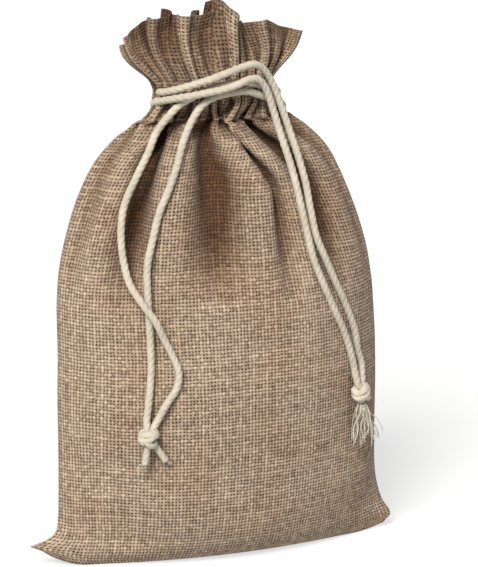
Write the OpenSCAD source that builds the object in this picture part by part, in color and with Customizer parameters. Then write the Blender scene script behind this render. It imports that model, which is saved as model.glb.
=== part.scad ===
// Drawstring gift pouch: a filled bag of coarse woven cloth, gathered and tied at the neck.
// Millimetres, +Z up, origin under the middle of the base, front of the pouch towards -Y.

/* [Cloth bag] */
// Thickness of the woven cloth
cloth_t = 1; // [0.8:0.1:1.1]
// Half the width of the base, seam to seam
base_half_w = 92; // [90:1:94]
// Half the depth of the base
base_half_d = 28; // [26:1:29]
// Half the width of the filled body
body_half_w = 86; // [84:1:87]
// Half the depth of the filled body
body_half_d = 40; // [38:0.5:40.5]
// Width of the overlocked seam allowances inside
seam_w = 7; // [6:1:8]

/* [Neck and frill] */
// Half the width of the gathered neck
neck_half_w = 30.5; // [30:0.5:31]
// Half the depth of the gathered neck
neck_half_d = 19.5; // [19:0.5:20]
// Top edge of the frill above the floor
frill_top = 288; // [280:1:292]
// Half the width of the frill at its top edge
frill_half_w = 48; // [42:1:50]
// Half the depth of the frill at its top edge
frill_half_d = 23; // [20:1:24]
// Waves in the frill, all the way round
frill_waves = 12; // [8:2:14]
// Height of each wave at the top edge
wave_h = 3.5; // [0:0.5:4]
// Angle left open at each side of the casing, where the cords leave it
slot_angle = 18; // [17:1:22]

/* [Drawstrings] */
// Diameter of the twisted cotton cord
cord_d = 3.9; // [3.5:0.1:3.9]
// Diameter of the overhand knots
knot_d = 12; // [10:0.5:13]
// Stitches in each row of the casing
stitches = 18; // [12:1:22]

/* [Hidden] */

linen = [0.66, 0.56, 0.44];
lining_linen = [0.56, 0.46, 0.35];
thread = [0.76, 0.66, 0.52];
cotton = [0.86, 0.82, 0.73];

arc_steps = 30;          // facets along each half of the cloth
cord_sides = 8;
gap = 0.2;               // clearance between pieces that are sewn edge to edge
casing_low = 230;        // lower row of stitching
casing_high = 246.5;     // upper row of stitching
channel_w = 5.2;         // inside width of the casing's channel
right_run_z = 241.5;     // the right-hand cord lies above the left-hand one in the channel
left_run_z = 236.5;
panel_levels = [
    cloth_t, 6, 12, 20, 30, 45, 60, 80, 110, 140, 155, 168, 180,
    190, 200, 208, 216, 223, casing_low - gap
];

// Half width, half depth and sharpness of the side seams, against height.
half_widths = [
    [0, base_half_w], [6, base_half_w + 2], [18, base_half_w - 2], [45, body_half_w + 1],
    [80, body_half_w], [140, body_half_w - 1], [156, 83.5], [173, 79], [190, 73], [207, 65],
    [216, 56], [220, 50], [226, 38.5], [232, neck_half_w + 1.5], [238, neck_half_w],
    [246, neck_half_w + 1], [256, 0.8 * frill_half_w], [272, frill_half_w],
    [frill_top, frill_half_w]
];
half_depths = [
    [0, base_half_d], [10, 32], [30, 37], [60, body_half_d], [140, body_half_d],
    [165, 38], [180, 36.5], [200, 33], [214, 28.5], [220, 25.5], [226, 21.5],
    [232, neck_half_d + 0.5], [238, neck_half_d], [250, neck_half_d],
    [frill_top, frill_half_d]
];
seam_sharpness = [[0, 0.85], [30, 0.72], [80, 0.62], [200, 0.56], [238, 0.5]];
wave_heights = [[casing_high + 3, 0], [frill_top, wave_h]];
channel_widths = [
    [casing_low + 0.5, 0.1], [casing_low + 3.5, channel_w],
    [casing_high - 3, channel_w], [casing_high, 0.1]
];

// Routes of the cord, chosen by hand. Each strand runs from its side slot across the
// front of the neck and down the cloth to its knot.
right_outer_route = [
    [-26.8, 4.1, 241.8], [-29.5, 0, 243.3], [-32.5, -5, 244.5], [-31.5, -11, 245.5],
    [-26.5, -18, 247.5], [-19, -23, 250], [-10, -26, 253], [-1, -27, 256], [8, -26, 258.5],
    [15, -24.5, 259], [21, -22, 255], [25.5, -20, 247.5], [29.5, -19.5, 237], [33, -20.5, 226],
    [36.5, -26.2, 211], [39.5, -29.5, 197], [41, -31.8, 184], [43, -33.2, 171],
    [48, -33.1, 158], [54, -31.9, 144], [60, -29.4, 131], [65, -26.6, 118], [69, -24.3, 107],
    [71.8, -23, 98], [72, -24.5, 90]
];
right_inner_route = [
    [-33.4, -3.4, 237.6], [-33.6, -7, 238.2], [-31.5, -12.5, 240], [-27, -19, 242.3],
    [-20.5, -23.6, 244.5], [-12, -26.2, 246.5], [-4, -27.2, 247.8], [4, -27.2, 249.8],
    [11, -26.2, 252], [16.5, -24.5, 251.3], [21, -22.7, 245.5], [24.3, -21.8, 236],
    [27.5, -23.4, 224], [31, -28.8, 209], [34, -31.8, 195], [36, -33.7, 183], [38, -34.9, 171],
    [40.5, -35.5, 159], [45, -35.2, 147], [51, -33.6, 133], [57, -31, 120], [62.5, -28.3, 108],
    [66, -26.6, 98], [67.3, -27.2, 91]
];
left_outer_route = [
    [26.8, 4.1, 236.7], [29.5, 0, 238.2], [32.5, -5, 240.5], [31, -9.8, 242.5],
    [26, -15, 245], [19, -19, 247.8], [10, -21.9, 250], [0, -22.7, 249.5],
    [-9, -22, 247.5], [-17, -20.5, 244], [-23, -17.5, 240], [-29, -16.2, 234],
    [-36, -17.8, 226.5], [-43, -20.7, 217], [-50, -22.1, 206], [-56, -22.6, 194],
    [-59, -24, 183], [-60, -25.8, 172], [-59, -28, 162], [-56, -32, 153],
    [-51, -37.3, 143], [-46, -39, 135], [-41.5, -38, 125], [-37.5, -38, 116],
    [-35, -38.6, 107.5], [-36.3, -38.2, 99.5], [-41, -37.3, 92], [-46.5, -37.3, 83]
];
left_inner_route = [
    [33.6, -3.6, 232.8], [34.5, -7, 234.2], [32, -11, 236.6], [26, -15, 239],
    [19, -19, 242.3], [10, -21.9, 245.3], [0, -22.8, 244.8], [-7, -22.3, 243.3],
    [-12.5, -21.5, 240], [-16.5, -21.2, 235], [-20.5, -22.3, 229], [-25, -25.4, 221],
    [-30, -28.4, 211], [-36, -30.1, 199.5], [-41, -30.9, 189], [-45, -31.7, 177],
    [-47, -32.8, 163], [-48, -33.9, 148], [-48, -34.3, 135], [-48, -34.5, 120],
    [-48.5, -34.6, 106], [-49.8, -35, 93], [-51.5, -36.5, 84]
];
// The end of the front run turns back out of its slot to meet the inner strand.
front_run_turn = [[-27.4, -2.6, -0.6], [-29.3, -0.6, -2.4], [-31.6, -0.6, -3.4], [-33.1, -2.2, -3.8]];
right_knot_at = [70, -29, 83];
left_knot_at = [-51, -39, 75.5];

function cloth_lookup(z, table) =
    (lookup(z - 6, table) + 2 * lookup(z, table) + lookup(z + 6, table)) / 4;
function wave(t, z) = lookup(z, wave_heights) * cos(frill_waves * t);
// A point on the front half of the cloth: t runs from the left seam (0) to the right (180).
function cloth_point(t, z, grow) =
    let (edge = grow + wave(t, z))
    [
        -(cloth_lookup(z, half_widths) + edge) * cos(t),
        -(cloth_lookup(z, half_depths) + edge) * pow(sin(t), 2 * lookup(z, seam_sharpness)),
        z
    ];
function unit(v) = v / norm(v);
function turned(n, dir) = unit(n - (n * dir) * dir);
function headings(path) = [
    for (i = [0 : len(path) - 1])
        unit(path[min(i + 1, len(path) - 1)] - path[max(i - 1, 0)])
];
// Carries one normal along the path, so that the tube doesn't twist.
function carried(dirs, n, i = 0) =
    i == len(dirs) ? [] :
    let (m = turned(n, dirs[i])) concat([m], carried(dirs, m, i + 1));
function quads(rows, cols, first, closed) = [
    for (i = [0 : rows - 2], j = [0 : cols - (closed ? 1 : 2)])
        let (
            a = first + i * cols + j, b = first + i * cols + (j + 1) % cols,
            c = a + cols, d = b + cols
        )
        each [[a, b, d], [a, d, c]]
];

// A length of cord swept along its route as one closed tube.
module cord(route, d = cord_d) {
    dirs = headings(route);
    normals = carried(dirs, cross(dirs[0], [0, 0, 1]));
    rings = len(route);
    points = [
        for (i = [0 : rings - 1], k = [0 : cord_sides - 1])
            let (a = 360 * k / cord_sides)
            route[i] + d / 2 * (cos(a) * normals[i] + sin(a) * cross(dirs[i], normals[i]))
    ];
    last = (rings - 1) * cord_sides;
    near_cap = [for (k = [1 : cord_sides - 2]) [0, k, k + 1]];
    far_cap = [for (k = [1 : cord_sides - 2]) [last, last + k + 1, last + k]];
    side = [for (f = quads(rings, cord_sides, 0, true)) [f[0], f[2], f[1]]];
    polyhedron(points, concat(side, near_cap, far_cap), convexity = 6);
}

// A wall of cloth on the front half, between an outer and an inner surface. Its ends are
// open by end_angle, and grows holds [outer, inner] offsets, one pair for each level.
module cloth_wall(levels, grows, end_angle, steps = arc_steps) {
    cols = steps + 1;
    rows = len(levels);
    angles = [for (k = [0 : steps]) end_angle + (180 - 2 * end_angle) * k / steps];
    outer = [for (i = [0 : rows - 1], t = angles) cloth_point(t, levels[i], grows[i][0])];
    inner = [for (i = [0 : rows - 1], t = angles) cloth_point(t, levels[i], grows[i][1])];
    n = rows * cols;
    top = n - cols;
    out_faces = [for (f = quads(rows, cols, 0, false)) [f[0], f[2], f[1]]];
    in_faces = quads(rows, cols, n, false);
    low_edge = [for (j = [0 : cols - 2]) each [[j, j + 1, n + j + 1], [j, n + j + 1, n + j]]];
    high_edge = [
        for (j = [0 : cols - 2])
            let (a = top + j) each [[a, n + a + 1, a + 1], [a, n + a, n + a + 1]]
    ];
    left_end = [
        for (i = [0 : rows - 2])
            let (a = i * cols, b = a + cols) each [[a, n + b, b], [a, n + a, n + b]]
    ];
    right_end = [
        for (i = [0 : rows - 2])
            let (a = i * cols + cols - 1, b = a + cols) each [[a, b, n + b], [a, n + b, n + a]]
    ];
    polyhedron(
        concat(outer, inner),
        concat(out_faces, in_faces, low_edge, high_edge, left_end, right_end),
        convexity = 10
    );
}

// The back of the pouch is the front turned about the seams.
module on_back() {
    mirror([0, 1, 0]) children();
}

module panel() {
    color(linen)
        translate([0, -gap / 2, 0])
            cloth_wall(panel_levels, [for (z = panel_levels) [0, -cloth_t]], 0);
}

module underside() {
    outline = [for (k = [0 : arc_steps]) cloth_point(180 * k / arc_steps, 0, 0)];
    color(linen)
        translate([0, -gap / 2, 0])
            linear_extrude(cloth_t - gap / 4)
                polygon([for (p = outline) [p[0], p[1]]]);
}

// One overlocked seam allowance, standing inwards from the left seam.
module side_seam() {
    levels = [for (z = panel_levels) if (z > 8) z];
    rows = len(levels);
    half_t = 0.8;
    points = [
        for (z = levels)
            let (x0 = -cloth_lookup(z, half_widths) + cloth_t * 0.8)
            each [[x0, -half_t, z], [x0 + seam_w, -half_t, z], [x0 + seam_w, half_t, z], [x0, half_t, z]]
    ];
    last = (rows - 1) * 4;
    caps = [[0, 2, 1], [0, 3, 2], [last, last + 1, last + 2], [last, last + 2, last + 3]];
    color(lining_linen) polyhedron(points, concat(quads(rows, 4, 0, true), caps), convexity = 4);
}

module bottom_seam() {
    seam_l = 2 * base_half_w - 34;
    color(lining_linen)
        translate([-seam_l / 2, -0.8, cloth_t])
            cube([seam_l, 1.6, seam_w - 1]);
}

module casing() {
    levels = [casing_low, 234, 238, 242, casing_high];
    color(linen) cloth_wall(levels, [for (z = levels) [0, -cloth_t]], slot_angle);
}

// The turned-in hem, sewn to the casing along both rows and bellied out by the cords.
module facing() {
    levels = [casing_low + 0.5, 233.5, 238, casing_high - 3, casing_high - 0.2];
    grows = [
        for (z = levels)
            let (g = -cloth_t - gap - lookup(z, channel_widths)) [g, g - cloth_t]
    ];
    color(lining_linen) cloth_wall(levels, grows, slot_angle + 13);
}

module frill() {
    levels = [casing_high + gap, 254, 262, 270, 279, frill_top];
    color(linen) cloth_wall(levels, [for (z = levels) [0, -2.2 * cloth_t]], slot_angle, 48);
}

// A row of stitches through the casing, each lying along the cloth.
module stitching(z) {
    color(thread)
        for (k = [0 : stitches - 1]) {
            t = slot_angle + 3 + (174 - 2 * slot_angle) * (k + 0.5) / stitches;
            p = cloth_point(t, z, 0.1);
            along = cloth_point(t + 1, z, 0.1) - cloth_point(t - 1, z, 0.1);
            translate(p)
                rotate([0, 0, atan2(along[1], along[0])])
                    cube([2.4, 0.8, 0.7], center = true);
        }
}

function channel_point(t, z) = cloth_point(t, z, -cloth_t - channel_w / 2);
function channel_route(z) = [for (k = [0 : 12]) channel_point(20 + 140 * k / 12, z)];

// The front run of a cord ends in a tight turn out of the slot on the side named.
module front_run(z, turn_side) {
    turn = [for (p = front_run_turn) [p[0], p[1], p[2] + z]];
    route = concat([for (k = [3 : -1 : 0]) turn[k]], channel_route(z));
    color(cotton)
        if (turn_side == "left") cord(route);
        else mirror([1, 0, 0]) cord(route);
}

module back_run(z) {
    color(cotton) on_back() cord(channel_route(z));
}

// The short stretch that bridges the slot between the front and back casings.
module slot_loop(z) {
    x = channel_point(20, z)[0] + 0.5;
    color(cotton)
        cord([[x, -3.8, z], [x + 0.2, -1.9, z], [x + 0.3, 0, z], [x + 0.2, 1.9, z], [x, 3.8, z]]);
}

// An overhand knot: a core with two turns of the cord round it.
module knot(at, lean) {
    turn_r = knot_d / 2 - cord_d / 2 + 0.2;
    color(cotton)
        translate(at)
            rotate(lean) {
                sphere(d = knot_d - 1, $fn = 24);
                for (tilt = [-24, 24])
                    translate([0, 0, tilt / 9])
                        rotate([0, tilt, 0])
                            rotate_extrude($fn = 24)
                                translate([turn_r, 0]) circle(d = cord_d, $fn = 16);
            }
}

// The frayed ends of the right-hand cord, combed out below the knot.
module right_tassel() {
    ends = [[-5, -3], [-2, 1], [1, -4], [3, 0], [6, -2]];
    top = right_knot_at + [0.5, 0.3, -6.4];
    color(cotton)
        for (e = ends)
            let (way = [e[0] + 2.5, e[1] + 2, -19], len = norm(way))
            translate(top + [e[0] * 0.25, e[1] * 0.2, 0])
                rotate([0, acos(way[2] / len), atan2(way[1], way[0])])
                    cylinder(h = len, d1 = 2.2, d2 = 1.8, $fn = 14);
}

// The two short ends of the left-hand cord below the knot.
module left_tails() {
    ends = [[-1.2, -1.5, 0.2], [4, -1, 1.5]];
    color(cotton)
        for (e = ends)
            let (way = [e[0], e[1] + 2.2, -9 + e[2]], len = norm(way))
            translate(left_knot_at + [e[0] * 0.6, 0.4, -5.8 + e[2] * 0.4])
                rotate([0, acos(way[2] / len), atan2(way[1], way[0])])
                    cylinder(h = len, d = cord_d * 0.9, $fn = 16);
}

panel();  // front_panel
on_back() panel();  // back_panel
underside();  // front_underside
on_back() underside();  // back_underside
side_seam();  // left_side_seam
mirror([1, 0, 0]) side_seam();  // right_side_seam
bottom_seam();
casing();  // front_casing
on_back() casing();  // back_casing
facing();  // front_facing
on_back() facing();  // back_facing
frill();  // front_frill
on_back() frill();  // back_frill
stitching(casing_high - 0.6);  // front_upper_stitching
stitching(casing_low + 0.6);  // front_lower_stitching
on_back() stitching(casing_high - 0.6);  // back_upper_stitching
on_back() stitching(casing_low + 0.6);  // back_lower_stitching
front_run(right_run_z, "left");  // right_cord_front_run
back_run(right_run_z);  // right_cord_back_run
mirror([1, 0, 0]) slot_loop(right_run_z);  // right_cord_slot_loop
front_run(left_run_z, "right");  // left_cord_front_run
back_run(left_run_z);  // left_cord_back_run
slot_loop(left_run_z);  // left_cord_slot_loop
color(cotton) cord(right_outer_route);  // right_outer_strand
color(cotton) cord(right_inner_route);  // right_inner_strand
knot(right_knot_at, [0, -15, 30]);  // right_knot
right_tassel();
color(cotton) cord(left_outer_route);  // left_outer_strand
color(cotton) cord(left_inner_route);  // left_inner_strand
knot(left_knot_at, [10, 20, -20]);  // left_knot
left_tails();
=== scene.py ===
from math import cos, pi, radians, sin

import bmesh
import bpy
import numpy as np
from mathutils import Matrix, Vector


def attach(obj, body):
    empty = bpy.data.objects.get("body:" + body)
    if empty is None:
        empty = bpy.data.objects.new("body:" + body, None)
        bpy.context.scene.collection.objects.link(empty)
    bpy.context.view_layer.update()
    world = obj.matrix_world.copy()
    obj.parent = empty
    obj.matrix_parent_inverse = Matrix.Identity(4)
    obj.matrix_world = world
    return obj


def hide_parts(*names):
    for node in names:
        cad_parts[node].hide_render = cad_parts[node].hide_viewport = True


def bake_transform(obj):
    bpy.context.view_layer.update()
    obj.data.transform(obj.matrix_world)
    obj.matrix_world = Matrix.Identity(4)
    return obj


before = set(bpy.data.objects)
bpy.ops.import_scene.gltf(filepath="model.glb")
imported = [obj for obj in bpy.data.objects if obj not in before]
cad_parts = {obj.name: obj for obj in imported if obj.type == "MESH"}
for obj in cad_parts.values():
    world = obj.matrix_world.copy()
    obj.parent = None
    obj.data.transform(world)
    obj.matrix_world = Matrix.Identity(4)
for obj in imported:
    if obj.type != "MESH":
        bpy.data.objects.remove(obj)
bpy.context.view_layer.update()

MM = 0.001

# The stand: a pale table under soft studio light, and the camera a little to the left of
# the pouch's front and above it, with a long lens.
camera_side = radians(-20)
camera_rise = radians(14)
camera_reach = 1500 * MM
camera_aim = Vector((11, 0, 141)) * MM
camera_back = Vector((
    sin(camera_side) * cos(camera_rise), -cos(camera_side) * cos(camera_rise), sin(camera_rise)
))
camera = bpy.data.objects.new("camera", bpy.data.cameras.new("camera"))
camera.data.lens = 185
camera.location = camera_aim + camera_back * camera_reach
camera.rotation_mode = "QUATERNION"
camera.rotation_quaternion = (-camera_back).to_track_quat("-Z", "Y")
bpy.context.collection.objects.link(camera)
bpy.context.scene.camera = camera
bpy.context.scene.view_settings.view_transform = "Standard"


def softbox(name, at, size, watts, tint):
    """An area light aimed at the middle of the pouch."""
    lamp = bpy.data.lights.new(name, "AREA")
    lamp.size = size
    lamp.energy = watts
    lamp.color = tint
    holder = bpy.data.objects.new(name, lamp)
    holder.location = Vector(at)
    holder.rotation_mode = "QUATERNION"
    holder.rotation_quaternion = (Vector((0, 0, 0.14)) - Vector(at)).to_track_quat("-Z", "Y")
    bpy.context.collection.objects.link(holder)


softbox("fill_softbox", (0.95, -1.1, 0.5), 0.8, 3, (1, 0.99, 0.97))
key = bpy.data.lights.new("key", "SUN")
key.energy = 6.0
key.angle = radians(24)
key.color = (1, 0.985, 0.96)
key_holder = bpy.data.objects.new("key", key)
key_holder.rotation_mode = "QUATERNION"
key_holder.rotation_quaternion = Vector((0.55, 0.68, -0.78)).to_track_quat("-Z", "Y")
bpy.context.collection.objects.link(key_holder)
world = bpy.data.worlds.new("studio")
world.use_nodes = True
world.node_tree.nodes["Background"].inputs["Color"].default_value = (1, 1, 1, 1)
world.node_tree.nodes["Background"].inputs["Strength"].default_value = 0.3
bpy.context.scene.world = world


class Wire:
    """A socket of a material's node tree, with which sums read as sums."""

    def __init__(self, tree, socket=None):
        self.tree = tree
        self.socket = socket

    def node(self, kind, settings=(), inputs=(), out=0):
        """A new node of the kind, with its settings and inputs, as a wire from one output."""
        made = self.tree.nodes.new(kind)
        for name, value in dict(settings).items():
            if name == "stops":
                ramp = made.color_ramp.elements
                for spare in range(len(value) - 2):
                    ramp.new(0.5)
                for stop, (place, colour) in zip(ramp, value):
                    stop.position = place
                    stop.color = (*colour, 1)
            else:
                setattr(made, name, value)
        for name, value in dict(inputs).items():
            if isinstance(value, Wire):
                self.tree.links.new(value.socket, made.inputs[name])
            else:
                made.inputs[name].default_value = value
        return Wire(self.tree, made.outputs[out])

    def math(self, operation, *values):
        return self.node("ShaderNodeMath", {"operation": operation}, dict(enumerate(values)))

    def __add__(self, other):
        return self.math("ADD", self, other)

    def __sub__(self, other):
        return self.math("SUBTRACT", self, other)

    def __rsub__(self, other):
        return self.math("SUBTRACT", other, self)

    def __mul__(self, other):
        return self.math("MULTIPLY", self, other)

    def __truediv__(self, other):
        return self.math("DIVIDE", self, other)

    __radd__ = __add__
    __rmul__ = __mul__

    def power(self, exponent):
        return self.math("POWER", self, exponent)

    def clamped(self):
        return self.node("ShaderNodeClamp", {}, {0: self})

    def step(self, low, high):
        """0 below low and 1 above high, with a soft edge between."""
        return self.node(
            "ShaderNodeMapRange", {"interpolation_type": "SMOOTHSTEP"},
            {"Value": self, "From Min": low, "From Max": high},
        )


def cloth_material(name, roughness, sheen):
    """A new material, its shader node and a wire to start its sums from."""
    made = bpy.data.materials.new(name)
    made.use_nodes = True
    shader = made.node_tree.nodes["Principled BSDF"]
    shader.inputs["Roughness"].default_value = roughness
    shader.inputs["Specular IOR Level"].default_value = 0.15
    shader.inputs["Sheen Weight"].default_value = sheen
    shader.inputs["Sheen Roughness"].default_value = 0.6
    return made, shader, Wire(made.node_tree)


def plug_in(wire, shader, socket):
    """Joins a wire to one of the shader's own sockets."""
    wire.tree.links.new(wire.socket, shader.inputs[socket])


table_cloth, table_shader, _ = cloth_material("pale_table", 0.9, 0)
table_shader.inputs["Base Color"].default_value = (0.24, 0.24, 0.24, 1)
table_shader.inputs["Emission Color"].default_value = (1, 1, 1, 1)
table_shader.inputs["Emission Strength"].default_value = 0.66
bm = bmesh.new()
bmesh.ops.create_grid(bm, x_segments=1, y_segments=1, size=6)
table_mesh = bpy.data.meshes.new("table")
bm.to_mesh(table_mesh)
bm.free()
table_mesh.materials.append(table_cloth)
table = bpy.data.objects.new("table", table_mesh)
bpy.context.collection.objects.link(table)

# The two drawstrings' free strands: soft undyed cotton cord, three plies laid together,
# 3.9 mm thick. Each leaves its side slot, crosses the front of the neck and hangs.
cord_d = 3.9 * MM
cord_lay = 11 * MM       # length in which a ply goes once round
cord_plies = 3

right_outer_route = [
    (-25.5, 4.1, 241.8), (-27.5, 0, 243.3), (-29.3, -5, 244.5), (-28.8, -11, 245.5),
    (-25.5, -17.6, 247.5), (-19, -22.7, 250), (-10, -26, 253), (-1, -27, 256), (8, -26, 258.5),
    (15, -24.5, 259), (21, -22, 255), (25.5, -20, 247.5), (29.5, -19.5, 237), (33, -20.5, 226),
    (36.5, -26.2, 211), (39.5, -29.5, 197), (41, -31.8, 184), (43, -33.2, 171),
    (48, -33.1, 158), (54, -31.9, 144), (60, -29.4, 131), (65, -26.6, 118), (67.3, -24.3, 107),
    (69.8, -23.2, 99.5), (69.8, -24.7, 92), (68.6, -27.6, 86),
]
right_inner_route = [
    (-31, -3.4, 239), (-30.6, -7, 240), (-29.2, -12.5, 241.6), (-26, -18.3, 243.2),
    (-20.5, -23.4, 244.8), (-12, -26.2, 246.5), (-4, -27.2, 247.8), (4, -27.2, 249.8),
    (11, -26.2, 252), (16.5, -24.5, 251.3), (21, -22.7, 245.5), (24.3, -21.8, 236),
    (27.5, -23.4, 224), (31, -28.8, 209), (34, -31.8, 195), (36, -33.7, 183), (38, -34.9, 171),
    (40.5, -35.5, 159), (45, -35.2, 147), (51, -33.6, 133), (57, -31, 120), (61.5, -28.3, 108),
    (64.2, -26.8, 99.5), (65.3, -27.4, 93), (66.8, -28.6, 87),
]
left_outer_route = [
    (26.8, 4.1, 236.7), (29.5, 0, 238.2), (32.5, -5, 240.5), (31, -9.8, 242.5), (26, -15, 245),
    (19, -19, 247.8), (10, -21.9, 250), (0, -22.7, 249.5), (-9, -22, 247.5), (-17, -20.5, 244),
    (-23, -17.5, 240), (-29, -16.2, 234), (-36, -17.8, 226.5), (-41.5, -20.9, 217),
    (-48, -22.6, 206), (-54, -23.2, 194), (-57, -24.5, 183), (-58, -26.4, 172), (-57.5, -28.4, 162),
    (-56, -32, 153), (-51, -37.3, 143), (-46, -39, 135), (-41.5, -38, 125), (-37.5, -38, 116),
    (-35, -38.6, 107.5), (-36.3, -38.2, 99.5), (-41, -37.3, 92), (-46.5, -37.3, 83),
    (-50, -38.5, 78),
]
left_inner_route = [
    (34.6, -3.6, 232.8), (35.2, -7, 233.6), (32.6, -11, 236.2), (26, -15, 239),
    (19, -19, 242.3), (10, -21.9, 245.3), (0, -22.8, 244.8), (-7, -22.3, 243.3),
    (-12.5, -21.5, 240), (-16.5, -21.2, 235), (-20.5, -22.3, 229), (-25, -25.4, 221),
    (-29, -28.6, 211), (-34, -30.4, 199.5), (-39, -31.2, 189), (-43, -32, 177),
    (-47, -32.8, 163), (-48, -33.9, 148), (-48, -34.3, 135), (-48, -34.5, 120),
    (-48.5, -34.6, 106), (-49.8, -35, 93), (-51.5, -36.5, 84), (-51.5, -38.5, 78),
]


def lengths_along(path):
    """The length run from the path's start to each of its points."""
    return np.concatenate([[0], np.cumsum(np.linalg.norm(np.diff(path, axis=0), axis=1))])


def smooth_route(points, step=0.8 * MM, closed=False):
    """A smooth curve through the points, with a point every step along it."""
    p = np.array(points, float)
    if closed:
        p = np.vstack([p[-1], p, p[:2]])
    else:
        p = np.vstack([2 * p[0] - p[1], p, 2 * p[-1] - p[-2]])
    t = np.linspace(0, 1, 24, endpoint=False)[:, None]
    curve = []
    for a, b, c, d in zip(p, p[1:], p[2:], p[3:]):
        curve.append(0.5 * (
            2 * b + (c - a) * t + (2 * a - 5 * b + 4 * c - d) * t ** 2
            + (3 * b - a - 3 * c + d) * t ** 3
        ))
    curve = np.vstack([*curve, p[-2]])
    run = lengths_along(curve)
    even = np.linspace(0, run[-1], max(3, round(run[-1] / step)) + 1)
    return np.stack([np.interp(even, run, curve[:, k]) for k in range(3)], axis=1)


def carried_frames(path):
    """Two directions across the path at each point, carried along it without twist."""
    ahead = np.gradient(path, axis=0)
    ahead /= np.linalg.norm(ahead, axis=1)[:, None]
    across = np.cross(ahead[0], (0.3, 0.2, 1))
    sides = []
    for direction in ahead:
        across = across - direction * (across @ direction)
        across = across / np.linalg.norm(across)
        sides.append(across)
    sides = np.array(sides)
    return sides, np.cross(ahead, sides)


def laid_grid(name, columns, rows, place, width, length, material, begin=0.0, round_shut=False):
    """A grid of cloth or yarn, put in place by place(u, v) and with a UV map in metres."""
    bm = bmesh.new()
    uv = bm.loops.layers.uv.new("UVMap")
    bmesh.ops.create_grid(bm, x_segments=columns, y_segments=rows, size=0.5)
    bm.verts.ensure_lookup_table()
    flat = np.array([v.co[:2] for v in bm.verts]) + 0.5
    for face in bm.faces:
        face.smooth = True
        for loop in face.loops:
            u, v = flat[loop.vert.index]
            loop[uv].uv = (u * width, begin + v * length)
    for vert, spot in zip(bm.verts, place(flat[:, 0], flat[:, 1])):
        vert.co = spot
    if round_shut:
        bmesh.ops.remove_doubles(bm, verts=bm.verts, dist=1e-6)
        rims = [e for e in bm.edges if e.is_boundary]
        bmesh.ops.holes_fill(bm, edges=rims, sides=0)
        bmesh.ops.recalc_face_normals(bm, faces=bm.faces)
    mesh = bpy.data.meshes.new(name)
    bm.to_mesh(mesh)
    bm.free()
    mesh.materials.append(material)
    made = bpy.data.objects.new(name, mesh)
    bpy.context.collection.objects.link(made)
    return made


def laid_cord(name, path, diameter, material, lay=cord_lay, plies=cord_plies, taper=0.0):
    """A laid cord along the path: its plies stand proud and go round it once in each lay."""
    facets_per_ply = 8
    groove = 0.14            # depth between two plies, as a share of the radius
    run = lengths_along(path)
    side_a, side_b = carried_frames(path)
    rings = len(path) - 1
    around = plies * facets_per_ply

    def place(u, v):
        i = np.rint(v * rings).astype(int)
        turn = 2 * pi * (u % 1.0)
        proud = 1 - groove + groove * np.abs(np.cos(plies * turn / 2)) ** 0.8
        ends = np.minimum(i, rings - i) / 2
        proud = proud * (1 - taper * np.clip(1 - ends, 0, 1) ** 2)
        angle = turn + 2 * pi * run[i] / lay
        across = np.cos(angle)[:, None] * side_a[i] + np.sin(angle)[:, None] * side_b[i]
        return path[i] + across * (diameter / 2 * proud)[:, None]

    return laid_grid(
        name, around, rings, place, pi * diameter, run[-1], material, round_shut=True
    )


# Undyed cotton: fine fibres along each ply, with a soft mottle of darker and paler.
cotton, shader, start = cloth_material("undyed_cotton", 0.92, 0.1)
fibre_uv = start.node("ShaderNodeUVMap", {"uv_map": "UVMap"})
along_fibres = start.node(
    "ShaderNodeVectorMath", {"operation": "MULTIPLY"}, {0: fibre_uv, 1: (9000, 900, 1)}
)
fibres = start.node(
    "ShaderNodeTexNoise", {}, {"Vector": along_fibres, "Scale": 1.0, "Detail": 2.0}
)
spot = start.node("ShaderNodeTexCoord", out=3)
mottle = start.node("ShaderNodeTexNoise", {}, {"Vector": spot, "Scale": 120.0, "Detail": 3.0})
cord_tone = start.node("ShaderNodeMapRange", {}, {
    "Value": fibres * 0.7 + mottle * 0.3, "From Min": 0.32, "From Max": 0.68,
})
cord_colour = start.node("ShaderNodeMix", {"data_type": "RGBA"}, {
    0: cord_tone, 6: (0.27, 0.235, 0.18, 1), 7: (0.53, 0.475, 0.385, 1),
}, out=2)
plug_in(cord_colour, shader, "Base Color")
plug_in(start.node("ShaderNodeBump", {}, {
    "Strength": 0.6, "Distance": 0.0003, "Height": fibres,
}), shader, "Normal")

def leaning(p):
    """The filled pouch leans a little to its right, most of all at the frill."""
    heights = np.array((110, 165, 190, 225, 242, 254, 288)) * MM
    p = np.array(p, float)
    p[..., 0] += np.interp(p[..., 2], heights, (0, -2.3, -3.3, -3.2, -3.4, -4.2, -3.4)) * MM
    return p


strands = {}
strand_paths = {}
for name, route, body in (
    ("right_outer_strand", right_outer_route, "right_tail"),
    ("right_inner_strand", right_inner_route, "right_tail"),
    ("left_outer_strand", left_outer_route, "left_tail"),
    ("left_inner_strand", left_inner_route, "left_tail"),
):
    strand_paths[name] = leaning(smooth_route(np.array(route) * MM))
    strands[name] = laid_cord(name + "_cord", strand_paths[name], cord_d, cotton)
    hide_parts(name)
    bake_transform(strands[name])

# The overhand knots that keep each pair of strands from slipping back: the doubled cord
# goes round itself, under its own turns, and is pulled tight.


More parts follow.
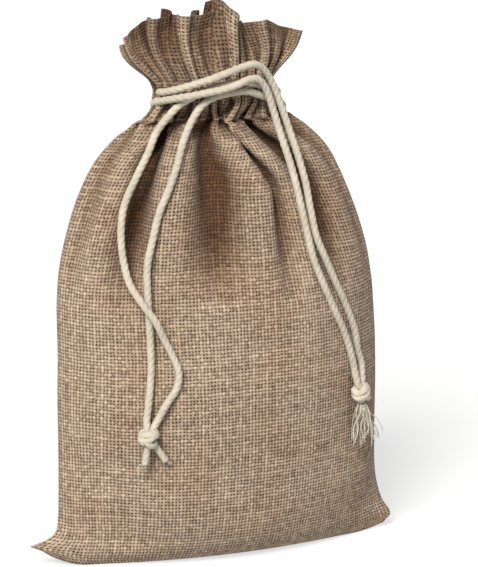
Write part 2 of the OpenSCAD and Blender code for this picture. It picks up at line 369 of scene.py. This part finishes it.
def overhand_knot(name, at, lean, turn, material):
    """Two tight turns round the strands, and a third that crosses them slantwise."""
    parts = []
    turns = ((2.1, 3.3, 0.28), (-1.9, 3.5, -0.2), (0.2, 3.9, 0.95))
    for k, (height, reach, tip) in enumerate(turns):
        t = np.linspace(0, 2 * pi, 16, endpoint=False)
        ring = np.stack([
            reach * np.cos(t), 0.9 * reach * np.sin(t), height + 0.5 * np.sin(3 * t + k),
        ], axis=1)
        c, d = cos(tip + lean), sin(tip + lean)
        ring = ring @ np.array([(c, 0, d), (0, 1, 0), (-d, 0, c)])
        c, d = cos(turn), sin(turn)
        ring = ring @ np.array([(c, d, 0), (-d, c, 0), (0, 0, 1)])
        path = smooth_route(ring * MM + np.array(at), 0.9 * MM, closed=True)
        parts.append(laid_cord(name, path, (4.2 - 0.3 * k) * MM, material, lay=12 * MM))
    return joined(name, parts)


def joined(name, parts):
    """Several pieces of one material made one mesh."""
    bpy.ops.object.select_all(action="DESELECT")
    for part in parts:
        part.select_set(True)
    bpy.context.view_layer.objects.active = parts[0]
    bpy.ops.object.join()
    parts[0].name = name
    return parts[0]


right_knot_at = np.array((67.8, -29, 85)) * MM
left_knot_at = np.array((-51, -39, 75.5)) * MM
right_knot = overhand_knot("right_knot_cord", right_knot_at, 0.15, 0.5, cotton)
left_knot = overhand_knot("left_knot_cord", left_knot_at, -0.25, -0.4, cotton)
for knot, node, body in (
    (right_knot, "right_knot", "right_tail"), (left_knot, "left_knot", "left_tail"),
):
    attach(knot, body)
    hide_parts(node)

# The cord ends below the knots: the right ones combed out into a tassel of loose yarns,
# the left ones two short stubs that have begun to fray.


def frayed_yarns(name, top, way, spread, count, seed, thick=0.75 * MM):
    """Loose yarns that leave one place and part as they fall."""
    chance = np.random.default_rng(seed)
    way = np.array(way, float)
    yarns = []
    for k in range(count):
        drift = chance.normal(0, 1, 3) * np.array((1, 0.5, 0.25)) * spread
        begin = np.array(top) + drift * 0.16
        curl = chance.normal(0, 1, (2, 3)) * np.array((1, 0.6, 0.2)) * spread * 0.22
        length = chance.uniform(0.72, 1.08)
        points = [
            begin,
            begin + way * 0.3 * length + drift * 0.2 + curl[0],
            begin + way * 0.65 * length + drift * 0.55 + curl[1],
            begin + way * length + drift * 0.95,
        ]
        path = smooth_route(points, 1.6 * MM)
        yarns.append(laid_cord(
            "yarn", path, thick * chance.uniform(0.7, 1.3), cotton, lay=5 * MM, plies=1, taper=0.9
        ))
    return joined(name, yarns)


tassel = frayed_yarns(
    "right_tassel_yarns", right_knot_at + np.array((0, 0, -4)) * MM,
    np.array((2.5, 1.5, -24)) * MM, 5 * MM, 34, seed=4,
)
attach(tassel, "right_tail")
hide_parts("right_tassel")
stubs = []
for k, (lean, drop) in enumerate((((-1.5, 0.6), 10), ((6, 0.6), 9))):
    top = left_knot_at + np.array((lean[0] * 0.5, 0.3, -4)) * MM
    way = np.array((lean[0], lean[1], -drop)) * MM
    stub_path = smooth_route([top, top + way * 0.5, top + way])
    stubs.append(laid_cord("stub", stub_path, 3.6 * MM, cotton))
    stubs.append(frayed_yarns("fray", top + way * 0.75, way * 0.55, 1.5 * MM, 9, seed=20 + k))
left_stubs = joined("left_tail_stubs", stubs)
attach(left_stubs, "left_tail")
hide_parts("left_tails")
for name, knot, tails in (
    ("right_outer_strand", right_knot, tassel), ("right_inner_strand", right_knot, tassel),
    ("left_outer_strand", left_knot, left_stubs), ("left_inner_strand", left_knot, left_stubs),
):
    path = strand_paths[name]
    tuple(path[0])
    round(float(lengths_along(path)[-1]), 3)
    [tuple(p) for p in path]

# The bag itself: one front and one back panel of coarse slubbed plain weave, 200 mm wide,
# sewn at the sides and the bottom. The girth never changes, so what the neck doesn't need
# stands up as pleats, which run out over the shoulder.
cloth_w = 200.0          # width of one panel; millimetres, like all of the shape below
weave_pitch = 1.8
casing_low = 230.0       # lower row of stitching
casing_high = 246.5      # upper row of stitching
slot_angle = radians(18)     # left open at each side of the casing, where the cords leave
half_widths = [
    (0, 90.5), (3, 94), (9, 92), (16, 88.5), (30, 87.5), (60, 87), (90, 87), (138, 85.5),
    (156, 83.5), (173, 79), (190, 73), (207, 65), (216, 58), (224, 49), (230, 40.5),
    (235, 34.5), (239, 31), (246, 30.5), (251, 34), (256, 40), (264, 46.5), (272, 50.5), (288, 52),
]
half_depths = [
    (0, 19), (6, 25), (14, 31.5), (30, 37), (60, 40), (140, 40), (165, 38), (180, 36.5),
    (200, 33), (214, 28.5), (220, 25.5), (226, 22.5), (232, 20), (238, 19), (246, 19),
    (262, 17.5), (288, 16),
]
seam_sharpness = [(0, 1.15), (10, 0.95), (30, 0.74), (80, 0.62), (200, 0.56), (238, 0.5)]
# Where the crowns of the pleats run across a panel, for the front (-1) and the back (1):
# up at the neck, down on the shoulder, and in the frill.
neck_crowns = {-1: [0, 15, 62, 89, 124, 170, 200], 1: [0, 28, 64, 100, 134, 170, 200]}
shoulder_crowns = {-1: [0, 20, 60, 116, 141, 180, 200], 1: [0, 30, 66, 99, 137, 171, 200]}
frill_crowns = {-1: [0, 27, 64, 92, 122, 174, 200], 1: [0, 30, 68, 104, 140, 174, 200]}
pleat_strength = {-1: [0.6, 1, 0.75, 1.25, 0.95, 0.6], 1: [0.6, 0.9, 1, 0.8, 1, 0.6]}
frill_strength = {-1: [0.8, 1, 1, 1.05, 1.1, 0.5], 1: [0.4, 1, 0.9, 1, 0.9, 0.4]}
fine_crowns = [0, 11, 25, 37, 49, 63, 74, 87, 99, 110, 124, 136, 147, 161, 173, 186, 200]


def eased(z, table, reach):
    """The table's value at z, rounded over reach to each side."""
    heights, values = zip(*table)
    near = np.interp(z + reach * np.linspace(-1, 1, 9), heights, values)
    return float(np.average(near, weights=[1, 2, 3, 4, 5, 4, 3, 2, 1]))


def girth_row(z, end_angle):
    """Half of the pouch's outline at a height: points, outward directions and lengths."""
    reach = 9 * min(1.0, max(0.25, z / 24))
    a = eased(z, half_widths, reach)
    b = eased(z, half_depths, reach)
    q = eased(z, seam_sharpness, reach)
    t = np.linspace(end_angle, pi - end_angle, 901)
    row = np.stack([-a * np.cos(t), -b * np.sin(t) ** (2 * q)], axis=1)
    ahead = np.gradient(row, axis=0)
    ahead /= np.linalg.norm(ahead, axis=1)[:, None] + 1e-12
    return row, np.stack([ahead[:, 1], -ahead[:, 0]], axis=1), lengths_along(row)


def pleat_swing(s, crowns, sharp, strength=None):
    """How the cloth leans at s: once in and once out between each two crowns."""
    crowns = np.array(crowns, float)
    which = np.clip(np.searchsorted(crowns, s, side="right") - 1, 0, len(crowns) - 2)
    turn = 2 * pi * (s - crowns[which]) / (crowns[which + 1] - crowns[which])
    swing = np.sin(turn - sharp * np.sin(turn))
    return swing if strength is None else swing * np.array(strength)[which]


def ramp(value, low, high):
    """0 below low, 1 above high, smooth between."""
    t = np.clip((value - low) / (high - low), 0, 1)
    return t * t * (3 - 2 * t)


fine_s = np.linspace(0, cloth_w, 1601)
steepness = np.linspace(0, 2.1, 43)      # how steeply the pleats' walls may lean; radians
# The weave paints shade inside the pleats by their depth, fully from this depth on.
full_shade_depth = 10.0     # a pleat this deep is as dark inside as it gets


def pleats(z, side, width):
    """How far along the girth and how deep each place of the cloth comes at a height. Big
    pleats take up what they can, and fine gathers the rest."""
    at_neck = float(ramp(z, 192, 232))
    in_frill = float(ramp(z, 240, 252))
    crowns = [
        low + (high - low) * at_neck
        for low, high in zip(shoulder_crowns[side], neck_crowns[side])
    ]
    big = pleat_swing(fine_s, crowns, 0.45, pleat_strength[side])
    frill = pleat_swing(fine_s, frill_crowns[side], 0.5, frill_strength[side])
    big = big + (frill - big) * in_frill
    fine = pleat_swing(fine_s, fine_crowns, 0.2)
    big_share = 1 - 0.93 * float(ramp(z, 222, 241) * (1 - ramp(z, 245, 292)))
    sunk = 0.0
    for again in range(3):
        share = min(1.0, (width + pi * sunk) / cloth_w)
        kept = [np.cos(k * big).mean() for k in steepness]
        most = np.interp(-share ** big_share, -np.array(kept), steepness)
        kept = [np.cos(most * big + k * fine).mean() for k in steepness]
        lean = most * big + np.interp(-share, -np.array(kept), steepness) * fine
        deep = -np.concatenate([[0], np.cumsum(np.sin(lean[1:]))]) * fine_s[1]
        deep = deep - deep[-1] * fine_s / cloth_w
        deep = deep - deep.max()
        sunk = deep.mean()
    far = np.concatenate([[0], np.cumsum(np.cos(lean[1:]))])
    filled = float(ramp(z, 118, 168))
    return fine_s / cloth_w * (1 - filled) + far / far[-1] * filled, deep * filled


def cloth_row(z, s, side, grow=0.0):
    """The places of points s along one half of the cloth at a height."""
    row, out, run = girth_row(z, slot_angle if z >= casing_low else 0.0)
    far, deep = pleats(z, side, run[-1])
    at = np.interp(s, fine_s, far) * run[-1]
    spots = np.stack([np.interp(at, run, row[:, k]) for k in range(2)], axis=1)
    normals = np.stack([np.interp(at, run, out[:, k]) for k in range(2)], axis=1)
    normals /= np.linalg.norm(normals, axis=1)[:, None]
    spots = spots + normals * (np.interp(s, fine_s, deep) + grow)[:, None]
    return np.stack([spots[:, 0], spots[:, 1] * -side, np.full(len(s), z)], axis=1)


def cloth_piece(name, side, levels, columns, shape, material, thick, length, begin=0.0):
    """Part of a panel, woven square to its own width and height. shape(level, s) places
    one row of it. An attribute tells the weave how deep in a pleat each place is, and the weave
    paints shade there by it."""
    rows = len(levels) - 1
    s = np.linspace(0, cloth_w, columns + 1)
    places = np.zeros((rows + 1, columns + 1, 3))
    sunk = np.zeros((rows + 1, columns + 1))
    for k, level in enumerate(levels):
        places[k] = shape(level, s)
        height = max(1.0, places[k][:, 2].mean())
        deep = pleats(height, side, girth_row(height, 0.0)[2][-1])[1]
        sunk[k] = np.clip(-np.interp(s, fine_s, deep) / full_shade_depth, 0, 1)
    in_order = []

    def place(u, v):
        row = np.rint(v * rows).astype(int)
        column = np.rint(u * columns).astype(int)
        in_order.append(sunk[row, column])
        return leaning(places[row, column] * MM)

    made = laid_grid(
        name, columns, rows, place, cloth_w * MM, length * MM, material, begin=begin * MM
    )
    # Painted shade: how deep in a pleat each place lies, for the weave to darken it by.
    hollow = made.data.attributes.new("hollow", "FLOAT", "POINT")
    hollow.data.foreach_set("value", in_order[0])
    if side > 0:
        made.data.flip_normals()
    wall = made.modifiers.new("thickness", "SOLIDIFY")
    wall.thickness = thick * MM
    wall.offset = -1
    wall.use_even_offset = False
    return made


def cloth_levels(low, high, count):
    """Heights evenly spaced along the slope of the cloth, and the cloth's length."""
    z = np.linspace(low, high, 300)
    rise = [eased(k, half_widths, 9) + eased(k, half_depths, 9) for k in z]
    run = lengths_along(np.stack([z, np.array(rise) / 2], axis=1))
    return np.interp(np.linspace(0, run[-1], count + 1), run, z), run[-1]


# The weave: threads over and under each other, some of them thick or pale, with painted shade
# in the gaps at the corners and on the lower parts of the threads, and painted shade deep in
# the pleats. It is drawn from the cloth's own width and height, so it follows the folds.


def woven_linen(name, light, mid, gap_shade_colour):
    """A plain weave whose threads run from mid to light, painted darker where they lie low, with a
    colour of painted shade in the gaps between them.
    """
    made, shader, start = cloth_material(name, 0.95, 0.05)
    uv = start.node("ShaderNodeUVMap", {"uv_map": "UVMap"})
    wander = start.node(
        "ShaderNodeTexNoise", {}, {"Vector": uv, "Scale": 260.0, "Detail": 2.0}, out=1
    )
    shift = start.node("ShaderNodeVectorMath", {"operation": "MULTIPLY_ADD"}, {
        0: wander, 1: (0.0011, 0.0011, 0), 2: uv,
    })
    threads = start.node("ShaderNodeVectorMath", {"operation": "SCALE"}, {
        0: shift, "Scale": 1 / (weave_pitch * MM),
    })
    across = start.node("ShaderNodeSeparateXYZ", {}, {0: threads}, out=0)
    along = start.node("ShaderNodeSeparateXYZ", {}, {0: threads}, out=1)
    warp_no = across.math("FLOOR", across)
    weft_no = along.math("FLOOR", along)
    warp_off = across - warp_no - 0.5
    weft_off = along - weft_no - 0.5
    warp_luck = start.node("ShaderNodeTexWhiteNoise", {"noise_dimensions": "1D"}, {"W": warp_no})
    weft_luck = start.node("ShaderNodeTexWhiteNoise", {"noise_dimensions": "1D"}, {
        "W": weft_no + 71.3,
    })
    warp_slub = start.node("ShaderNodeTexNoise", {}, {
        "Vector": start.node("ShaderNodeCombineXYZ", {}, {0: warp_no * 3.7, 1: along * 0.4}),
        "Scale": 1.0, "Detail": 3.0,
    })
    weft_slub = start.node("ShaderNodeTexNoise", {}, {
        "Vector": start.node("ShaderNodeCombineXYZ", {}, {0: across * 0.4, 1: weft_no * 3.7}),
        "Scale": 1.0, "Detail": 3.0,
    })
    warp_w = 0.17 + warp_slub * 0.34 + warp_luck * 0.05
    weft_w = 0.17 + weft_slub * 0.34 + weft_luck * 0.05
    warp_body = (1 - (warp_off / warp_w).power(2)).clamped()
    weft_body = (1 - (weft_off / weft_w).power(2)).clamped()
    parity = start.math("PINGPONG", warp_no + weft_no, 1.0)
    over = parity * 2 - 1
    warp_high = warp_body.power(0.5) * (0.72 + over * start.math("COSINE", weft_off * pi) * 0.28)
    weft_high = weft_body.power(0.5) * (0.72 - over * start.math("COSINE", warp_off * pi) * 0.28)
    height = start.math("MAXIMUM", warp_high, weft_high)
    warp_shows = (warp_high - weft_high).step(-0.05, 0.05)
    luck = weft_luck + (warp_luck - weft_luck) * warp_shows
    slub = weft_slub + (warp_slub - weft_slub) * warp_shows
    crossing = start.node("ShaderNodeTexWhiteNoise", {"noise_dimensions": "3D"}, {
        "Vector": start.node("ShaderNodeCombineXYZ", {}, {0: warp_no, 1: weft_no}),
    })
    patch = start.node("ShaderNodeTexNoise", {}, {"Vector": uv, "Scale": 30.0, "Detail": 4.0})
    # Thread brightness: random per thread and per crossing, and painted shade where a thread lies
    # low.
    random_and_shaded_tone = (luck * 0.22 + slub * 0.5 + crossing * 0.3 + height * 0.7 - 0.62).clamped()
    thread_colour = start.node("ShaderNodeMix", {"data_type": "RGBA"}, {
        0: random_and_shaded_tone, 6: mid, 7: light,
    }, out=2)
    # Painted shade deep in the pleats: the deeper, the warmer and then darker the colour, on top of
    # random warm patches.
    hollow = start.node("ShaderNodeAttribute", {"attribute_name": "hollow"}, {}, out=2)
    patches_and_painted_shade = (patch.step(0.4, 0.66) * 0.3 + hollow * 0.4).clamped()
    patchy_shaded_colour = start.node("ShaderNodeMix", {"data_type": "RGBA", "blend_type": "MULTIPLY"}, {
        0: patches_and_painted_shade, 6: thread_colour, 7: (0.9, 0.7, 0.56, 1),
    }, out=2)
    patchy_shaded_colour = start.node("ShaderNodeMix", {"data_type": "RGBA", "blend_type": "MULTIPLY"}, {
        0: hollow, 6: patchy_shaded_colour, 7: (0.27, 0.19, 0.13, 1),
    }, out=2)
    # Painted shade in the gaps between the threads: almost black where no thread lies.
    solid = height.step(0.05, 0.5)
    colour = start.node("ShaderNodeMix", {"data_type": "RGBA"}, {
        0: solid, 6: gap_shade_colour, 7: patchy_shaded_colour,
    }, out=2)
    plug_in(colour, shader, "Base Color")
    hairs = start.node("ShaderNodeTexNoise", {}, {"Vector": uv, "Scale": 2600.0, "Detail": 1.0})
    plug_in(start.node("ShaderNodeBump", {}, {
        "Strength": 0.7, "Distance": 0.0006, "Height": height + hairs * 0.25,
    }), shader, "Normal")
    return made


linen = woven_linen(
    "slubbed_linen", (0.46, 0.36, 0.265, 1), (0.12, 0.08, 0.05, 1), (0.010, 0.005, 0.0025, 1)
)
# A darker copy of the same weave for the pieces inside the bag: painted shade, where little light
# gets in.
linen_inside = woven_linen(
    "linen_painted_inside_shade", (0.34, 0.26, 0.18, 1), (0.09, 0.06, 0.04, 1), (0.01, 0.005, 0.003, 1)
)

# The two panels, from the floor to the lower stitching. The filled body is a little uneven,
# the bottom edge is rounded, and the corners stand out as ears with a crease beside them.


def ear(p):
    """Draws the corner of the cloth out to the side and curls it up from the floor."""
    x, y, z = p.T
    left = np.exp(-((z - 8) / 6.5) ** 2) * 9.5
    right = np.exp(-((z - 13) / 15) ** 2) * 4.5
    out = np.clip((np.abs(x) - 74) / 18, 0, 1.4) ** 2
    lift = np.where(x < 0, 6.5, 2.5) * out * np.exp(-(z / 11) ** 2)
    return np.stack([x + np.where(x < 0, -left, right) * out, y, z + lift], axis=1)


def rumpled(p, side):
    """Soft unevenness of filled cloth: a few long waves that don't repeat."""
    x, y, z = p.T
    swell = (
        np.sin(x / 17 + z / 29 + 1.3) + 0.8 * np.sin(x / 31 - z / 19 + 0.4)
        + 0.6 * np.sin(z / 13 + x / 23 + 2.1) + 0.5 * np.sin(x / 9 - z / 37)
    )
    amount = 0.65 * ramp(z, 6, 40) * (1 - ramp(z, 175, 215)) * ramp(np.abs(y), 2, 14)
    crease = (x + 84) * 0.42 - (108 - z) * 0.2
    sunk = 4.5 * ramp(-crease, -5, 9) * ramp(z, 4, 16) * ramp(120 - z, 0, 30)
    sunk = sunk * ramp(np.abs(y), 4, 24)
    return np.stack([x, y + side * (swell * amount - sunk), z], axis=1)


def panel_shape(side):
    """Rows of a panel, rounded in under the bag where it meets the table."""
    def shape(z, s):
        round_r = 8
        lift = max(0.0, round_r - z)
        tuck = round_r - np.sqrt(round_r ** 2 - lift * lift)
        row = cloth_row(z, s, side)
        row[:, 1] *= 1 - tuck * ramp(90 - np.abs(row[:, 0]), 0, 30) / 30
        row = ear(rumpled(row, side))
        row[:, 1][(s <= 0) | (s >= cloth_w)] = 0
        return row
    return shape


def underside_shape(side):
    """Rows between the seam and the panel's lowest row, flat on the table."""
    def shape(share, s):
        row = panel_shape(side)(0.0, s)
        row[:, 1] *= share
        row[:, 2] += 0.15 * np.sin(share * pi)
        return row
    return shape


panel_levels, panel_length = cloth_levels(0.0, casing_low, 136)
for side, name in ((-1, "front"), (1, "back")):
    panel = cloth_piece(
        name + "_panel_cloth", side, panel_levels, 230, panel_shape(side), linen, 0.9,
        panel_length,
    )
    under = cloth_piece(
        name + "_underside_cloth", side, np.linspace(0, 1, 17), 230, underside_shape(side),
        linen, 0.8, 30, begin=-30,
    )
    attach(under, "pouch")
    if side < 0:
        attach(panel, "pouch")
    else:
        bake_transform(panel)
    for piece, node in ((panel, "_panel"), (under, "_underside")):
        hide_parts(name + node)
    name + "_casing"

# Above the panels, each cut in one with its panel: the casing between two rows of
# stitching, gathered small on the cords; the frill, folded over at the top; and the facing,
# which is the frill's inner layer sewn down inside the casing.
frill_low = casing_high
frill_rise = 36.5
fold_r = 0.75            # bend of the cloth where the frill is folded over
belly_out = 0.7          # how far the cords push the casing out, and its inner wall in
belly_in = 9.2
frill_edges = {
    -1: [
        (0, -12), (10, -5), (25, -1), (45, 0), (60, 0), (72, -1), (86, 0), (98, 1), (108, 5),
        (114, 7), (122, 3), (133, -6), (145, -9), (152, -9), (165, -5), (180, -6), (190, -9),
        (200, -13),
    ],
    1: [(0, -16), (20, -14), (60, -13), (100, -12), (150, -13), (200, -16)],
}


def casing_shape(side):
    """Rows of the casing's outer wall."""
    def shape(z, s):
        share = (z - casing_low) / (casing_high - casing_low)
        return cloth_row(z, s, side, belly_out * sin(pi * share))
    return shape


def facing_shape(side):
    """Rows of the casing's inner wall, which the cords hold away from the outer one."""
    def shape(z, s):
        share = min(1, max(0, (z - casing_low) / (casing_high - casing_low)))
        row = cloth_row(z, s, side, -1.6 - belly_in * sin(pi * share))
        row[:, 0] *= 0.9
        return row
    return shape


def frill_shape(side):
    """Up the outside, round the fold and down the inside, all measured along the cloth."""
    def shape(way, s):
        if way <= frill_rise:
            up, inward = way, 0.0
        elif way <= frill_rise + pi * fold_r:
            turn = (way - frill_rise) / fold_r
            up, inward = frill_rise + fold_r * sin(turn), fold_r * (1 - cos(turn))
        else:
            up, inward = 2 * frill_rise + pi * fold_r - way, 2 * fold_r
        row = cloth_row(frill_low + max(0.0, up), s, side, -inward)
        heights, values = zip(*frill_edges[side])
        more = sum(np.interp(s + k, heights, values) for k in (-4, -2, 0, 2, 4)) / 5
        ruffled = 0.7 * np.sin(s / 5.3) + 0.5 * np.sin(s / 3.1 + 1)
        row[:, 2] += (more + ruffled) * (up / frill_rise) ** 1.3
        return row
    return shape


def moves_with_neck(piece, side):
    """Fixes the front half of the neck to the pouch, and leaves the back half where it is, with no
    parent.
    """
    if side < 0:
        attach(piece, "pouch")
    else:
        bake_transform(piece)


frill_length = 2 * frill_rise + pi * fold_r
for side, name in ((-1, "front"), (1, "back")):
    casing = cloth_piece(
        name + "_casing_cloth", side, np.linspace(casing_low, casing_high, 13), 330,
        casing_shape(side), linen, 0.9, casing_high - casing_low, begin=panel_length,
    )
    facing = cloth_piece(
        name + "_facing_cloth", side, np.linspace(casing_low + 0.5, casing_high + 3, 12), 230,
        facing_shape(side), linen_inside, 0.9, casing_high - casing_low + 2.5,
    )
    frill = cloth_piece(
        name + "_frill_cloth", side,
        np.concatenate([
            np.linspace(0, frill_rise, 28),
            np.linspace(frill_rise, frill_rise + pi * fold_r, 7)[1:],
            np.linspace(frill_rise + pi * fold_r, frill_length, 24)[1:],
        ]),
        260, frill_shape(side), linen, 0.65, frill_length, begin=panel_length + 16.5,
    )
    for piece, part, cut in (
        (casing, "casing", 0.0165), (facing, "facing", 0.019), (frill, "frill", frill_length * MM),
    ):
        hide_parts(name + "_" + part)
        "linen_inside" if part == "facing" else "linen"
        moves_with_neck(piece, side)
        name + "_panel"

# The rows of stitching that make the channel: small stitches of linen-coloured thread
# through the casing, each lying over the gathers where it was sewn.
sewing_thread, shader, start = cloth_material("linen_thread", 0.8, 0.1)
thread_spot = start.node("ShaderNodeTexCoord", out=3)
thread_noise = start.node("ShaderNodeTexNoise", {}, {"Vector": thread_spot, "Scale": 900.0})
plug_in(start.node("ShaderNodeMix", {"data_type": "RGBA"}, {
    0: thread_noise, 6: (0.16, 0.115, 0.08, 1), 7: (0.42, 0.33, 0.24, 1),
}, out=2), shader, "Base Color")
stitches = 36
stitch_d = 0.6


def stitch_row(name, side, z):
    """One row of stitches, laid from needle hole to needle hole along the cloth."""
    sewn = []
    end_margin = 10
    along = np.array((-1.4, -0.8, 0, 0.8, 1.4))
    for k in range(stitches):
        middle = end_margin + (cloth_w - 2 * end_margin) * (k + 0.5) / stitches
        over = cloth_row(z, middle + along, side, 0.15)
        over[1:4] = cloth_row(z, middle + along, side, 0.75)[1:4]
        path = smooth_route(leaning(over * MM), 0.5 * MM)
        sewn.append(laid_cord(
            "stitch", path, stitch_d * MM, sewing_thread, lay=2 * MM, plies=1
        ))
    return joined(name, sewn)


for side, half in ((-1, "front"), (1, "back")):
    for row_name, z in (("upper", casing_high - 0.8), ("lower", casing_low + 0.8)):
        row = stitch_row(half + "_" + row_name + "_thread", side, z)
        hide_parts(half + "_" + row_name + "_stitching")
        moves_with_neck(row, side)

# The hidden part of each drawstring: through the front casing, round the far slot and back
# through the back casing, packed close by the gathered cloth.


def hidden_run(side, z):
    """The way through one half of the channel, from the left slot to the right one."""
    t = np.radians(np.linspace(20, 160, 9))
    return np.stack([-23.5 * np.cos(t), side * 9.5 * np.sin(t), np.full(9, z)], axis=1)


for cord_name, z, turn_side in (("right", 241.5, 1), ("left", 236.5, -1)):
    turn = np.array((
        (-32.4, -2.4, z - 3.2), (-30.6, -1.2, z - 2.6),
        (-28, -1.2, z - 1.6), (-25.2, -2.4, z - 0.5),
    ))
    front = np.vstack([turn, hidden_run(-1, z)])
    loop = np.array(((22.1, -3.25, z), (23.9, 0, z), (22.1, 3.25, z)))
    for part, way, body in (
        ("front_run", front, "pouch"), ("slot_loop", loop, "pouch"),
        ("back_run", hidden_run(1, z), ""),
    ):
        way = leaning(smooth_route(way * np.array((turn_side, 1, 1)) * MM))
        run = laid_cord(cord_name + "_" + part + "_cord", way, cord_d, cotton)
        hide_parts(cord_name + "_cord_" + part)
        if body:
            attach(run, body)
        else:
            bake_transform(run)

# Inside the bag: the seam allowances of the sides and of the bottom, two layers of cloth
# overlocked together and standing inwards from the seam.


def allowance(name, columns, rows, place, width, length):
    """A strip of two overlocked layers; flat is its cloth unfolded, width and length."""
    strip = laid_grid(name, columns, rows, place, width, length, linen_inside)
    wall = strip.modifiers.new("thickness", "SOLIDIFY")
    wall.thickness = 1.5 * MM
    wall.offset = 0
    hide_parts(name.replace("_allowance", "_seam"))
    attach(strip, "pouch")


seam_rows = 60
seam_heights = np.linspace(9, 222, seam_rows + 1)
seam_edge = np.array([eased(z, half_widths, 9) for z in seam_heights]) - 1.2
for side, name in ((-1, "left_side"), (1, "right_side")):
    def standing_in(u, v):
        row = np.rint(v * seam_rows).astype(int)
        z = seam_heights[row]
        narrowed = 7 * (1 - 0.6 * ramp(z, 140, 215))
        x = side * (seam_edge[row] - u * narrowed)
        return leaning(np.stack([x, 0.4 * np.sin(z / 8) * u, z], axis=1) * MM)
    allowance(
        name + "_allowance", 5, seam_rows, standing_in, 0.007, 0.222
    )


def standing_up(u, v):
    x = -75 + 150 * u
    return np.stack([x, 0.4 * np.sin(x / 9) * v, 1.2 + 5.6 * v], axis=1) * MM


allowance("bottom_allowance", 60, 5, standing_up, 0.15, 0.006)
